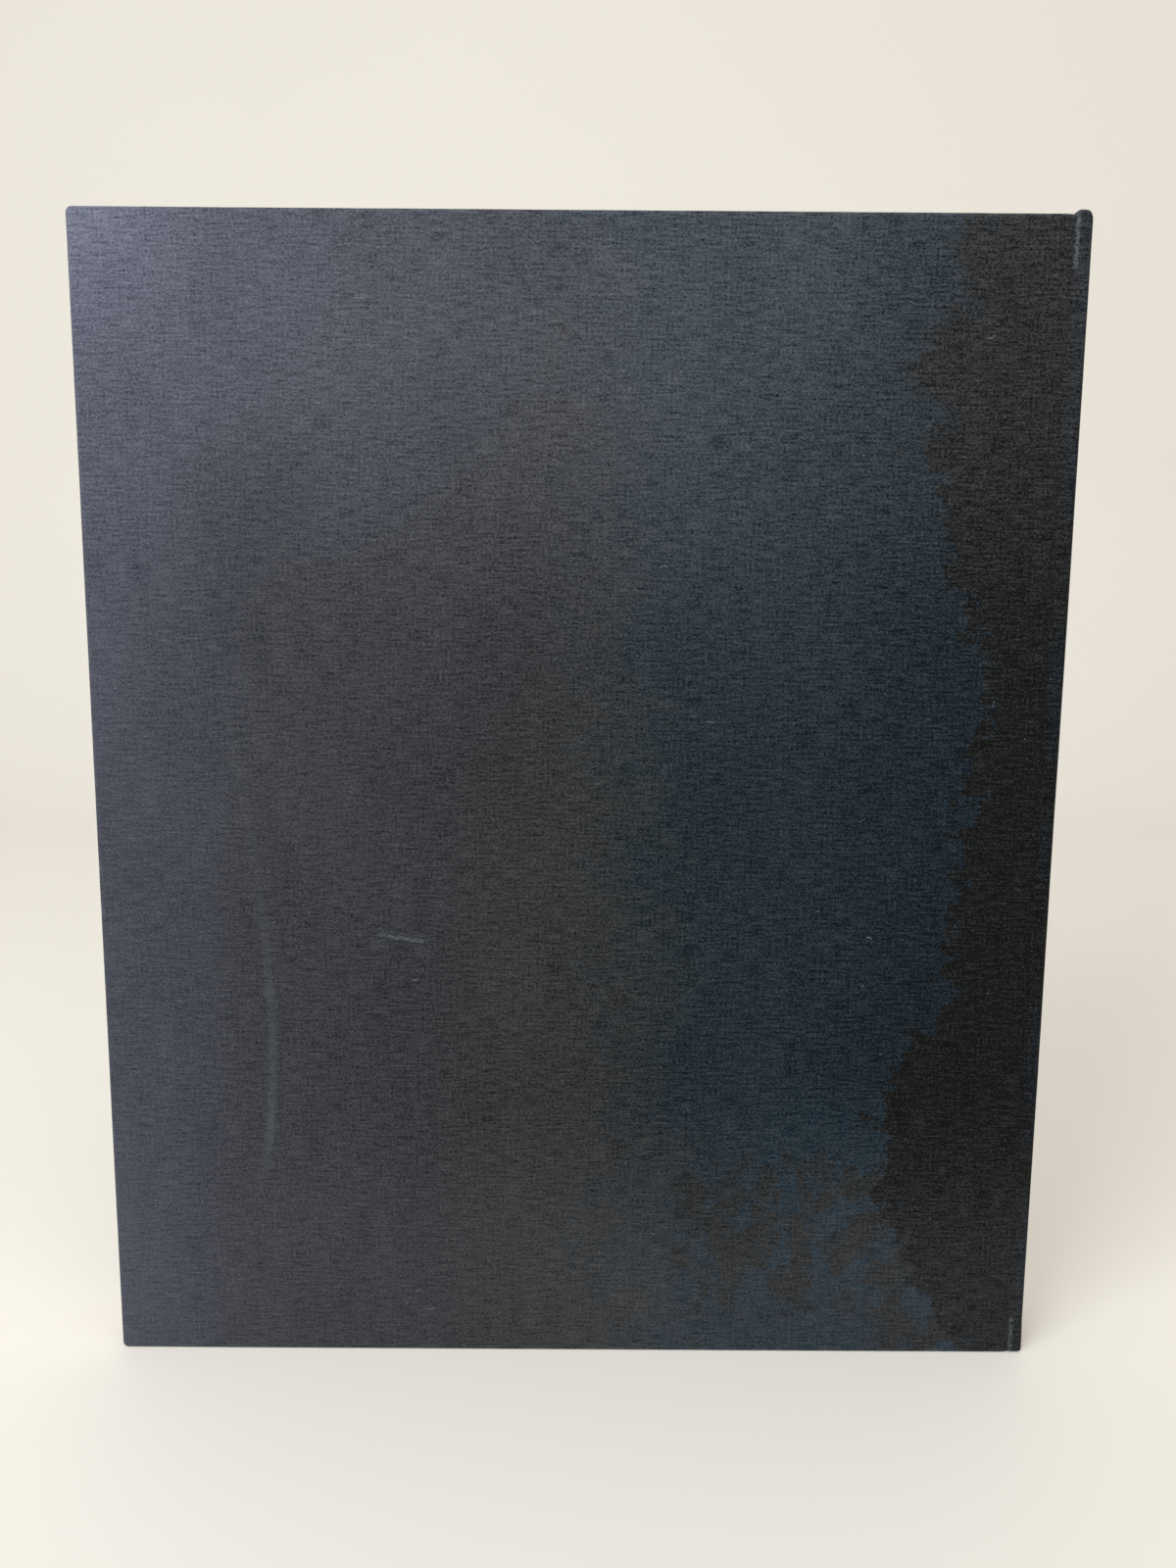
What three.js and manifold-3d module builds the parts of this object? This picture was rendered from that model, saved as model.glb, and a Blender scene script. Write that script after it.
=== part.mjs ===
// A large cloth-bound book with a flat back, standing upright on its tail edges.
// Millimetres. +Z runs from tail to head, +X from fore edge to spine, and the back cover faces -Y.
// The origin is at the middle of the footprint, on the surface that the book stands on.
import * as THREE from 'three';
import { mergeVertices } from 'three/addons/utils/BufferGeometryUtils.js';
import Module from 'manifold-3d';

const wasm = await Module();
wasm.setup();

// Case: two covered boards
const coverHeight = 360;
const coverWidth = 295;
const boardThickness = 3;
const boardEdge = 0.35;
const boardCorner = 1.3;
const clothThickness = 0.45;
const turnIn = 16;

// Case: the flat spine, with a cap at the head that stands above the boards
const spineDepth = 5.65;
const spineThickness = 3;
const spineCorner = 2;
const capRise = 1.4;
const capRun = 1.8;

// Leaves and endpapers
const blockThickness = 21.4;
const headSquare = 3.5;
const foreSquare = 4.5;
const flyleafThickness = 0.2;
const pastedownThickness = 0.25;
const pastedownMargin = 3.5;

// Back of the block
const mullThickness = 0.3;
const mullMargin = 12;
const liningThickness = 0.25;
const liningMargin = 5;
const bandRadius = 1.1;
const bandInset = 0.1;
const hollowDepth = 0.8;
const backShare = 0.96;

// Clearances
const glueGap = 0.05;
const leafGap = 0.3;
const jointGap = 0.3;

// Facets, and how far a cutting solid runs past what it cuts
const bevelSteps = 4;
const bandSides = 14;
const past = 5;

// Depths of the layers, from the middle of the book outwards
const blockHalf = blockThickness / 2;
const flyleafInner = blockHalf + glueGap;
const flyleafOuter = flyleafInner + flyleafThickness;
const pastedownInner = flyleafOuter + leafGap;
const pastedownOuter = pastedownInner + pastedownThickness;
const turnInInner = pastedownOuter + glueGap;
const turnInOuter = turnInInner + clothThickness;
const boardInner = turnInOuter + glueGap;
const boardOuter = boardInner + boardThickness;
const clothInner = boardOuter + glueGap;
const caseHalf = clothInner + clothThickness;
const clothOffset = clothThickness + glueGap;
const flankInner = caseHalf - clothThickness;

// Places along the width and the height
const foreX = -(coverWidth + spineDepth) / 2;
const jointX = foreX + coverWidth;
const spineX = jointX + spineDepth;
const coverEndX = jointX - jointGap;
const blockForeX = foreX + foreSquare;
const blockBottom = headSquare;
const blockTop = coverHeight - headSquare;

// Layers of the spine, from the outside inwards, down to the flat back of the leaves
const spineBoardOuterX = spineX - clothOffset;
const spineBoardInnerX = spineBoardOuterX - spineThickness;
const spineTurnInOuterX = spineBoardInnerX - glueGap;
const spineTurnInInnerX = spineTurnInOuterX - clothThickness;
const liningOuterX = spineTurnInInnerX - hollowDepth;
const mullOuterX = liningOuterX - liningThickness - glueGap;
const blockBackX = mullOuterX - mullThickness - glueGap;

// Closed geometry to solid and back, for joins and cuts
function solidOf(geometry) {
  const bare = geometry.clone();
  bare.deleteAttribute('normal');
  bare.deleteAttribute('uv');
  const merged = mergeVertices(bare, 1e-5);
  return new wasm.Manifold(new wasm.Mesh({
    numProp: 3,
    vertProperties: new Float32Array(merged.attributes.position.array),
    triVerts: new Uint32Array(merged.index.array),
  }));
}

function geometryOf(solid) {
  const mesh = solid.getMesh();
  const geometry = new THREE.BufferGeometry();
  geometry.setAttribute('position', new THREE.BufferAttribute(mesh.vertProperties, 3));
  geometry.setIndex(new THREE.BufferAttribute(mesh.triVerts, 1));
  geometry.computeVertexNormals();
  return geometry;
}

// A box from its low corner to its high corner
function box(low, high) {
  const size = high.map((value, axis) => value - low[axis]);
  const geometry = new THREE.BoxGeometry(...size);
  geometry.translate(...low.map((value, axis) => value + size[axis] / 2));
  return geometry;
}

// The two covers are alike. A layer of one lies between two depths from the middle of the book, on
// side -1 at the back and side 1 at the front.
function layer(side, inner, outer) {
  return side < 0 ? { nearY: -outer, farY: -inner } : { nearY: inner, farY: outer };
}

// A plate on edge with the outline of a cover, set in by inset, with its edges and its two fore-edge
// corners rounded. At endX it is cut off square.
function coverPlate({ nearY, farY }, { inset, edge, corner, endX }) {
  const fore = foreX + inset;
  const bottom = inset;
  const top = coverHeight - inset;
  const reach = endX + past;
  const outline = new THREE.Shape();
  outline.moveTo(reach, bottom);
  outline.lineTo(reach, top);
  outline.lineTo(fore + corner, top);
  outline.absarc(fore + corner, top - corner, corner, Math.PI / 2, Math.PI, false);
  outline.lineTo(fore, bottom + corner);
  outline.absarc(fore + corner, bottom + corner, corner, Math.PI, 1.5 * Math.PI, false);
  const geometry = new THREE.ExtrudeGeometry(outline, {
    depth: farY - nearY - 2 * edge,
    curveSegments: bevelSteps,
    bevelEnabled: true,
    bevelThickness: edge,
    bevelSize: edge,
    bevelOffset: -edge,
    bevelSegments: bevelSteps,
  });
  geometry.rotateX(Math.PI / 2);
  geometry.translate(0, farY - edge, 0);
  const beyond = box([endX, nearY - past, bottom - past], [reach + past, farY + past, top + past]);
  return solidOf(geometry).subtract(solidOf(beyond));
}

function board(side) {
  return geometryOf(coverPlate(layer(side, boardInner, boardOuter), {
    inset: clothOffset,
    edge: boardEdge,
    corner: boardCorner,
    endX: coverEndX,
  }));
}

// Cloth over the outside of a board, folded round its head, tail and fore edge and turned in
function coverCloth(side) {
  const skin = coverPlate(layer(side, turnInInner, caseHalf), {
    inset: 0,
    edge: boardEdge + clothOffset,
    corner: boardCorner + clothOffset,
    endX: coverEndX,
  });
  const cavity = coverPlate(layer(side, turnInOuter, clothInner), {
    inset: clothThickness,
    edge: boardEdge + glueGap,
    corner: boardCorner + glueGap,
    endX: coverEndX + past,
  });
  const { nearY, farY } = layer(side, turnInInner - past, boardInner);
  const window = box(
    [foreX + turnIn, nearY, turnIn],
    [coverEndX + past, farY, coverHeight - turnIn],
  );
  return geometryOf(skin.subtract(cavity).subtract(solidOf(window)));
}

// Endpaper pasted over the inside of a board. It lies on the turned-in cloth, and sinks to the board
// between the turn-ins.
function pastedown(side) {
  const sheet = layer(side, pastedownInner, pastedownOuter);
  const plate = box(
    [foreX + pastedownMargin, sheet.nearY, pastedownMargin],
    [coverEndX, sheet.farY, coverHeight - pastedownMargin],
  );
  const sunkLow = turnIn + glueGap;
  const sunkHigh = coverHeight - sunkLow;
  const sunk = layer(side, pastedownInner, boardInner - glueGap);
  const pad = box([foreX + sunkLow, sunk.nearY, sunkLow], [coverEndX, sunk.farY, sunkHigh]);
  const hollow = layer(side, pastedownInner - past, boardInner - glueGap - pastedownThickness);
  const recess = box(
    [foreX + sunkLow + pastedownThickness, hollow.nearY, sunkLow + pastedownThickness],
    [coverEndX + past, hollow.farY, sunkHigh - pastedownThickness],
  );
  return geometryOf(solidOf(plate).add(solidOf(pad)).subtract(solidOf(recess)));
}

// The free leaf of the endpaper, against the block
function flyleaf(side) {
  const sheet = layer(side, flyleafInner, flyleafOuter);
  return box([blockForeX, sheet.nearY, blockBottom], [coverEndX, sheet.farY, blockTop]);
}

function textBlock() {
  return box([blockForeX, -blockHalf, blockBottom], [blockBackX, blockHalf, blockTop]);
}

// A solid with the outline of the spine seen from above, set in by inset, from nearX to the outside
// and from low to high. Its two outer corners are rounded, and its ends by edge.
function spinePrism(nearX, { inset, low, high, edge }) {
  const half = caseHalf - inset;
  const farX = spineX - inset;
  const corner = spineCorner - inset;
  const outline = new THREE.Shape();
  outline.moveTo(nearX - past, -half);
  outline.lineTo(farX - corner, -half);
  outline.absarc(farX - corner, -half + corner, corner, -Math.PI / 2, 0, false);
  outline.lineTo(farX, half - corner);
  outline.absarc(farX - corner, half - corner, corner, 0, Math.PI / 2, false);
  outline.lineTo(nearX - past, half);
  const geometry = new THREE.ExtrudeGeometry(outline, {
    depth: high - low - 2 * edge,
    curveSegments: bevelSteps,
    bevelEnabled: edge > 0,
    bevelThickness: edge,
    bevelSize: edge,
    bevelOffset: -edge,
    bevelSegments: bevelSteps,
  });
  geometry.translate(0, 0, low + edge);
  const beyond = box([nearX - 2 * past, -half - past, low - past], [nearX, half + past, high + past]);
  return solidOf(geometry).subtract(solidOf(beyond));
}

// Everything above a slope that climbs from the boards at the joint to the top of the cap
function aboveCapRamp() {
  const slope = capRise / capRun;
  const high = coverHeight + capRise + past;
  const outline = new THREE.Shape();
  outline.moveTo(jointX - past, coverHeight);
  outline.lineTo(jointX, coverHeight);
  outline.lineTo(jointX + (capRise + past) / slope, high);
  outline.lineTo(jointX - past, high);
  const geometry = new THREE.ExtrudeGeometry(outline, {
    depth: 2 * (caseHalf + past),
    bevelEnabled: false,
  });
  geometry.rotateX(Math.PI / 2);
  geometry.translate(0, caseHalf + past, 0);
  return solidOf(geometry);
}

// Cloth round the spine's board, turned in over its head and tail
function spineCloth() {
  const top = coverHeight + capRise;
  const skin = spinePrism(jointX, {
    inset: 0,
    low: 0,
    high: top,
    edge: boardEdge + clothOffset,
  });
  const cavity = spinePrism(spineTurnInOuterX, {
    inset: clothThickness,
    low: clothThickness,
    high: coverHeight - clothThickness,
    edge: 0,
  });
  const window = box(
    [jointX - past, -flankInner, turnIn],
    [spineBoardInnerX, flankInner, coverHeight - turnIn],
  );
  const inside = box([jointX - past, -flankInner, -past], [spineTurnInInnerX, flankInner, top + past]);
  const cuts = [aboveCapRamp(), cavity, solidOf(window), solidOf(inside)];
  return geometryOf(cuts.reduce((solid, cut) => solid.subtract(cut), skin));
}

function spineBoard() {
  return geometryOf(spinePrism(spineBoardInnerX, {
    inset: clothOffset,
    low: clothOffset,
    high: coverHeight - clothOffset,
    edge: 0,
  }));
}

// A flat layer on the back of the block, margin short of the leaves at head and tail
function backLayer(outerX, thickness, margin) {
  const half = blockHalf * backShare;
  return box(
    [outerX - thickness, -half, blockBottom + margin],
    [outerX, half, blockTop - margin],
  );
}

// A round bead along the back edge of the leaves, with its middle at a height
function endBand(middle) {
  const length = 2 * blockHalf * backShare;
  const geometry = new THREE.CylinderGeometry(bandRadius, bandRadius, length, bandSides);
  geometry.translate(blockBackX - bandInset - bandRadius, 0, middle);
  return geometry;
}

const cloth = { color: 0x3a4148, roughness: 0.88, metalness: 0 };
const greyboard = { color: 0x8f877a, roughness: 0.95, metalness: 0 };
const leaves = { color: 0xe9e2d2, roughness: 0.85, metalness: 0 };
const endpaper = { color: 0xe2dac9, roughness: 0.8, metalness: 0 };
const gauze = { color: 0xd9d2bf, roughness: 0.95, metalness: 0 };
const brownPaper = { color: 0xa58a66, roughness: 0.9, metalness: 0 };
const bandThread = { color: 0x23262b, roughness: 0.75, metalness: 0 };

const book = new THREE.Group();

function addPiece(name, geometry, finish) {
  const mesh = new THREE.Mesh(geometry, new THREE.MeshStandardMaterial(finish));
  mesh.name = name;
  book.add(mesh);
}

addPiece('text_block', textBlock(), leaves);
addPiece('head_band', endBand(blockTop + glueGap + bandRadius), bandThread);
addPiece('tail_band', endBand(blockBottom - glueGap - bandRadius), bandThread);
addPiece('mull', backLayer(mullOuterX, mullThickness, mullMargin), gauze);
addPiece('spine_lining', backLayer(liningOuterX, liningThickness, liningMargin), brownPaper);
addPiece('spine_board', spineBoard(), greyboard);
addPiece('spine_cloth', spineCloth(), cloth);

for (const [cover, side] of [['back', -1], ['front', 1]]) {
  addPiece(`${cover}_flyleaf`, flyleaf(side), endpaper);
  addPiece(`${cover}_pastedown`, pastedown(side), endpaper);
  addPiece(`${cover}_board`, board(side), greyboard);
  addPiece(`${cover}_cover_cloth`, coverCloth(side), cloth);
}

export default book;
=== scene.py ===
# A large book bound in dark cloth, standing on its tail edges on a pale surface.
# Lengths are in millimetres in the row frame, and turn to metres where a mesh is made.
import math
from collections import Counter

import bpy
import numpy as np
from mathutils import Matrix, Vector, noise


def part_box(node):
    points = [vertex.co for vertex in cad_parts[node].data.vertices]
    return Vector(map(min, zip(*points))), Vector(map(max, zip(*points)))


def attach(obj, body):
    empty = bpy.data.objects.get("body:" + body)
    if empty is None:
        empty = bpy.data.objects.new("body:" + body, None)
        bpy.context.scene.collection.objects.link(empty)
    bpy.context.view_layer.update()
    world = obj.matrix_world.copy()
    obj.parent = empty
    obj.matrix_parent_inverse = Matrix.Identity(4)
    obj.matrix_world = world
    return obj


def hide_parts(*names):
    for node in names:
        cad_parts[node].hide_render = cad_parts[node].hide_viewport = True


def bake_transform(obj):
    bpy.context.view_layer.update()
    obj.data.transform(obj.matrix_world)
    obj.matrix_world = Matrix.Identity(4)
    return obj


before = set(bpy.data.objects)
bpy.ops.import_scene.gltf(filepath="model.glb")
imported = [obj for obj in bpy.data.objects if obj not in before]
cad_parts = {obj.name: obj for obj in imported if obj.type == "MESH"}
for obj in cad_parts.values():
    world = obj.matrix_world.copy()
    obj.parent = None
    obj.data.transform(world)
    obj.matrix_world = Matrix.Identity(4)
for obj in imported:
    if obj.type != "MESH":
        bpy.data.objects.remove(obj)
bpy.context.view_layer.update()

MM = 0.001


# Places taken from the frame

def box_mm(node):
    low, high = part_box(node)
    return np.array(low) / MM, np.array(high) / MM


cover_low, cover_high = box_mm("back_cover_cloth")
spine_low, spine_high = box_mm("spine_cloth")
block_low, block_high = box_mm("text_block")
flyleaf_low, flyleaf_high = box_mm("back_flyleaf")
pastedown_low, pastedown_high = box_mm("back_pastedown")

# Paper that touches the block lies this far off it
GLUE_GAP = 0.05
FORE_X = cover_low[0]
HEAD_Z = cover_high[2]
CASE_HALF = -cover_low[1]
TURN_IN_Y = -cover_high[1]
JOINT_X = spine_low[0]
SPINE_X = spine_high[0]
CAP_RISE = spine_high[2] - HEAD_Z
BLOCK_HALF = -flyleaf_high[1] - GLUE_GAP

# Cloth: how it folds round the boards and the spine
CLOTH_THICKNESS = 0.35
TURN_IN = 16.0
EDGE_RADIUS = 0.85
CORNER_RADIUS = 0.95
SPINE_CORNER = 2.0
SPINE_INNER_X = SPINE_X - 4.0
FOLD_STEPS = 5
TAPER_HEAD = 0.35
TAPER_TAIL = -0.45
JOINT_CREASE = 0.22
CREASE_HALF = 0.9
CAP_RUN = 2.2
CAP_SINK = 0.35
BEND_REACH = 0.9
# Where the doubled cloth of the turn-ins ends, from the head and from the tail, and how far it shows
HEAD_DOUBLED = (15.4, 14.8)
TAIL_DOUBLED = (12.4, 13.2)
DOUBLED_RISE = 0.14
TAIL_CORNER_RISE = 0.27
HEAD_CORNER_SINK = 0.5


# Helpers for shapes

def smooth(value, low, high):
    t = min(max((value - low) / (high - low), 0.0), 1.0)
    return t * t * (3 - 2 * t)


def wander(x, y, z, wavelength, seed=0):
    """Smooth noise from about -1 to 1."""
    return noise.noise(Vector((x / wavelength + seed * 7.3, y / wavelength, z / wavelength - seed)))


def mesh_object(name, points, faces, smooth_faces=True):
    """A mesh object from points in millimetres."""
    mesh = bpy.data.meshes.new(name)
    mesh.from_pydata([tuple(np.array(p) * MM) for p in points], [], faces)
    mesh.validate()
    mesh.polygons.foreach_set("use_smooth", [smooth_faces] * len(mesh.polygons))
    mesh.update()
    obj = bpy.data.objects.new(name, mesh)
    bpy.context.scene.collection.objects.link(obj)
    return obj


def store_place(obj, places):
    """Keeps where each point lies on the flat material, so that its pattern stays with it."""
    layer = obj.data.attributes.new("place", "FLOAT_VECTOR", "POINT")
    layer.data.foreach_set("vector", np.array(places, np.float32).ravel())


# The cloth of the case

FLANK = SPINE_X - SPINE_CORNER - JOINT_X
CORNER_LENGTH = math.pi / 2 * SPINE_CORNER
SPINE_HALF_LENGTH = FLANK + CORNER_LENGTH + CASE_HALF - SPINE_CORNER
INNER_CLEAR = 0.5
INNER_RUN = 1.6


def raw_outer(s):
    """Outer face at a distance s past the joint, for the back half: x and y."""
    if s <= FLANK:
        return np.array([JOINT_X + s, -CASE_HALF])
    turn = min((s - FLANK) / SPINE_CORNER, math.pi / 2)
    x = SPINE_X - SPINE_CORNER * (1 - math.sin(turn))
    y = -CASE_HALF + SPINE_CORNER * (1 - math.cos(turn))
    return np.array([x, y + max(s - FLANK - CORNER_LENGTH, 0)])


def outer(s):
    """The same with the bend at the joint eased."""
    reach = np.linspace(-BEND_REACH, BEND_REACH, 13)
    weights = np.cos(reach / BEND_REACH * math.pi / 2) ** 2 + 1e-6
    return np.average([raw_outer(s + r) for r in reach], axis=0, weights=weights)


def outward(s):
    """Which way the outer face looks there: x and y."""
    along = outer(s + 0.05) - outer(s - 0.05)
    normal = np.array([along[1], -along[0]])
    return normal / np.linalg.norm(normal)


def inner(s):
    """Inside of the turned-in cloth at the same place: x and y."""
    if s < 0:
        return np.array([JOINT_X + min(s, -0.3), -TURN_IN_Y])
    x = JOINT_X + INNER_CLEAR + (SPINE_INNER_X - JOINT_X - INNER_CLEAR) * smooth(s, 0, INNER_RUN)
    return np.array([x, -TURN_IN_Y * (1 - s / SPINE_HALF_LENGTH)])


def cloth_stations():
    """Distances past the joint: close at the fore edge, at the joint and round the spine."""
    width = JOINT_X - FORE_X - EDGE_RADIUS
    fore = [0, CORNER_RADIUS / 2, CORNER_RADIUS, 2, 3.5, 6, 10, 16]
    broad = np.arange(21, width - 7, 5)
    joint = [-5, -3, -2, -1.4, -1, -0.7, -0.45, -0.3, -0.2, -0.1, 0, 0.1, 0.2, 0.3, 0.45]
    flank = np.arange(0.65, FLANK, 0.25)
    corner = np.arange(FLANK, FLANK + CORNER_LENGTH, 0.35)
    back = np.arange(FLANK + CORNER_LENGTH, SPINE_HALF_LENGTH - 0.4, 0.9)
    middle = [SPINE_HALF_LENGTH - 0.12, SPINE_HALF_LENGTH]
    cover = [a - width for a in (*fore, *broad)]
    return [*cover, *joint, *flank, *corner, *back, *middle]


def cloth_rows():
    """Heights: close at the tail and the head, where the cloth is doubled over the spine."""
    tail = [0, CORNER_RADIUS / 2, CORNER_RADIUS, 1.6, 3, 5, 8, 10.5, 11.4, 11.8, 12.2, 12.6, 13, 14, 17]
    head = [0, CORNER_RADIUS / 2, CORNER_RADIUS, 1.6, 2.4, 3.6, 5, 7, 9.5, 12, 13.2, 13.8, 14.2, 14.6,
            15, 15.6, 17, 20]
    tail = [EDGE_RADIUS + a for a in tail]
    head = [HEAD_Z - EDGE_RADIUS - a for a in reversed(head)]
    return tail + list(np.arange(tail[-1] + 5, head[0] - 3, 5)) + head


def cap_ramp(s):
    """How far the head cap has risen at a distance past the joint, from 0 to 1."""
    risen = math.sin(math.pi / 2 * min(max(s / CAP_RUN, 0), 1))
    return risen * (1 - CAP_SINK * smooth(s, FLANK, FLANK + 2.5))


def relief(s, z, side):
    """How far the cloth stands out of the plain form."""
    crease = -JOINT_CREASE * math.exp(-(s / CREASE_HALF) ** 2)
    on_spine = smooth(s, FLANK, FLANK + CORNER_LENGTH)
    taper = on_spine * (TAPER_TAIL + (TAPER_HEAD - TAPER_TAIL) * z / HEAD_Z)
    flank = smooth(s, 0.3, 1.2) * (1 - smooth(s, FLANK, FLANK + 1.5))
    at_head = smooth(z, HEAD_Z - HEAD_DOUBLED[0], HEAD_Z - HEAD_DOUBLED[1])
    doubled = DOUBLED_RISE * (at_head + 1 - smooth(z, *TAIL_DOUBLED))
    tail_corner = TAIL_CORNER_RISE * on_spine * (1 - smooth(z, 4, 13))
    head_corner = -HEAD_CORNER_SINK * on_spine * smooth(z, HEAD_Z - 2.2, HEAD_Z)
    fade = 1 - smooth(s, SPINE_HALF_LENGTH - 3, SPINE_HALF_LENGTH - 0.3)
    broad = 0.1 * wander(s, 0, z, 70, side) + 0.03 * wander(s, 0, z, 11, side)
    return crease + taper + flank * doubled + tail_corner + head_corner + fade * min(broad, 0.06)


def case_cloth(name, side):
    """Half of the case's cloth, from the turn-ins of one board to the middle of the spine."""
    stations = cloth_stations()
    rows = cloth_rows()
    points, places, faces = [], [], []
    columns, height = len(stations), len(rows)
    for s in stations:
        base, normal = outer(s), outward(s)
        rise = CAP_RISE * cap_ramp(s)
        for z in rows:
            x, y = base + normal * relief(s, z, side)
            lift = rise * smooth(z, HEAD_Z - 12, HEAD_Z - EDGE_RADIUS)
            points.append((x, y, z + lift))
            places.append((side * (SPINE_HALF_LENGTH - s), z, 0))
    for i in range(columns - 1):
        for j in range(height - 1):
            a = i * height + j
            faces.append((a, a + height, a + height + 1, a + 1))

    # The rim in order: along the head to the fore edge, down it, and along the tail to the spine
    rim = []
    for i in reversed(range(columns)):
        rim.append((i, height - 1))
    for j in reversed(range(1, height - 1)):
        rim.append((0, j))
    for i in range(columns):
        rim.append((i, 0))

    rings = []
    for i, j in rim:
        rings.append(fold_ring(points, places, stations, rows, i, j, side))
    for here, there in zip(rings, rings[1:]):
        for k in range(len(here) - 1):
            faces.append((here[k], here[k + 1], there[k + 1], there[k]))
    return finish_cloth(name, points, places, faces, side)


def fold_ring(points, places, stations, rows, i, j, side):
    """Points of the fold and the turn-in outwards from one point of the rim; returns their numbers."""
    s, z = stations[i], rows[j]
    from_fore = s - stations[0]
    from_end = min(z - rows[0], rows[-1] - z)
    first = i * len(rows) + j
    corner = max(1 - max(from_fore, from_end) / CORNER_RADIUS, 0) * math.pi / 4
    along_end = j in (0, len(rows) - 1)
    up = 1 if j == len(rows) - 1 or (not along_end and z > HEAD_Z / 2) else -1
    turn = corner if along_end else math.pi / 2 - corner
    out = np.array([-math.sin(turn), 0, up * math.cos(turn)])
    base = np.array(points[first])
    if corner > 0:
        centre_x = FORE_X + EDGE_RADIUS + CORNER_RADIUS
        end_z = rows[-1] - CORNER_RADIUS if up > 0 else rows[0] + CORNER_RADIUS
        base[0] = centre_x + CORNER_RADIUS * out[0]
        base[2] = end_z + CORNER_RADIUS * out[2]
        points[first] = tuple(base)
    inside = np.array([*inner(s), base[2]])
    if corner > 0 or not along_end:
        inside[0] = base[0]
    width = np.linalg.norm(inside - base)
    across = (inside - base) / width
    spread = smooth(s, -0.3, 0.6)
    radius = min(EDGE_RADIUS + spread * width / 2, width / 2)
    dent = 0.07 * abs(wander(base[0], side * 40, base[2], 9)) * (1 - spread)
    numbers = [first]

    def add(place_point, distance):
        points.append(tuple(place_point))
        across_cover, v, _ = places[first]
        places.append((across_cover - side * out[0] * distance, v + out[2] * distance, 0))
        numbers.append(len(points) - 1)

    quarter = [math.pi / 2 * step / FOLD_STEPS for step in range(FOLD_STEPS + 1)]
    for angle in quarter[1:]:
        sunk = across * radius * (1 - math.cos(angle))
        lifted = out * (EDGE_RADIUS - dent) * math.sin(angle)
        add(base + sunk + lifted, radius * angle)
    for angle in reversed(quarter[:-1]):
        sunk = across * radius * (1 - math.cos(angle))
        lifted = out * (EDGE_RADIUS - dent) * math.sin(angle)
        add(inside - sunk + lifted, width + radius * (math.pi / 2 - angle))
    mitre = from_fore if along_end else from_end
    for depth in (1.2, 3, 6, 10, TURN_IN - EDGE_RADIUS):
        kept = min(depth, max(mitre - 0.15, 0))
        add(inside - out * kept, width + radius + kept)
    return numbers


def finish_cloth(name, points, places, faces, side):
    """Gives the cloth its thickness inwards, mirrors the front half and makes the object."""
    if side > 0:
        points = [(x, -y, z) for x, y, z in points]
        faces = [tuple(reversed(face)) for face in faces]
    shell = mesh_object(name, points, faces)
    mesh = shell.data
    normals = np.array([v.normal for v in mesh.vertices])
    skin = np.array(points)
    under = skin - normals * CLOTH_THICKNESS
    count = len(points)
    used = Counter(edge for polygon in mesh.polygons for edge in polygon.edge_keys)
    closed = [tuple(p.vertices) for p in mesh.polygons]
    closed += [tuple(count + v for v in reversed(p.vertices)) for p in mesh.polygons]
    for polygon in mesh.polygons:
        corners = list(polygon.vertices)
        for a, b in zip(corners, corners[1:] + corners[:1]):
            if used[tuple(sorted((a, b)))] == 1:
                closed.append((b, a, count + a, count + b))
    bpy.data.objects.remove(shell)
    bpy.data.meshes.remove(mesh)
    obj = mesh_object(name, list(skin) + list(under), closed)
    store_place(obj, places + places)
    return obj


back_case = case_cloth("back_case_cloth", -1)
front_case = case_cloth("front_case_cloth", 1)


# Leaves: thin ridges on the block's three cut sides, with a deeper groove between folded sections

LEAF_THICKNESS = 0.2
LEAVES_IN_SECTION = 8
LEAF_GROOVE = 0.05
SECTION_GROOVE = 0.16
STATION_STEP = 7
block_rng = np.random.default_rng(11)


def leaf_columns():
    """Places through the thickness, with how deep each lies: a groove and a ridge for each leaf."""
    count = round(2 * BLOCK_HALF / LEAF_THICKNESS)
    columns = []
    section_depth = 0
    for leaf in range(count):
        start = -BLOCK_HALF + leaf * LEAF_THICKNESS
        first = leaf % LEAVES_IN_SECTION == 0
        if first:
            section_depth = block_rng.uniform(0, 0.06)
        depth = section_depth + block_rng.uniform(0, 0.03)
        columns.append((start, SECTION_GROOVE if first and leaf else LEAF_GROOVE + depth))
        columns.append((start + LEAF_THICKNESS / 2, depth))
    columns.append((BLOCK_HALF, LEAF_GROOVE))
    return columns


def leaf_path(y):
    """One leaf's outline: from the back along the head, down the fore edge and along the tail."""
    back_x, fore_x = block_high[0], block_low[0]
    bottom, top = block_low[2], block_high[2]
    along = np.linspace(back_x, fore_x, round((back_x - fore_x) / STATION_STEP))
    down = np.linspace(top, bottom, round((top - bottom) / STATION_STEP))
    path = [(x, y, top, 0, 1) for x in along[:-1]]
    path += [(fore_x, y, top, -1, 1)]
    path += [(fore_x, y, z, -1, 0) for z in down[1:-1]]
    path += [(fore_x, y, bottom, -1, -1)]
    path += [(x, y, bottom, 0, -1) for x in reversed(along[:-1])]
    return path


def make_leaves():
    points, faces = [], []
    columns = leaf_columns()
    for y, depth in columns:
        path = leaf_path(y)
        for x, py, z, out_x, out_z in path:
            sunk = depth + 0.03 * abs(wander(x, y * 4, z, 40))
            points.append((x - out_x * sunk, py, z - out_z * sunk))
    length = len(path)
    for i in range(len(columns) - 1):
        for j in range(length - 1):
            a = i * length + j
            faces.append((a, a + length, a + length + 1, a + 1))
        faces.append(((i + 2) * length - 1, (i + 1) * length, i * length, i * length + length - 1))
    faces.append(tuple(range(length)))
    last = (len(columns) - 1) * length
    faces.append(tuple(reversed(range(last, last + length))))
    return mesh_object("leaves", points, faces, smooth_faces=False)


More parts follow.
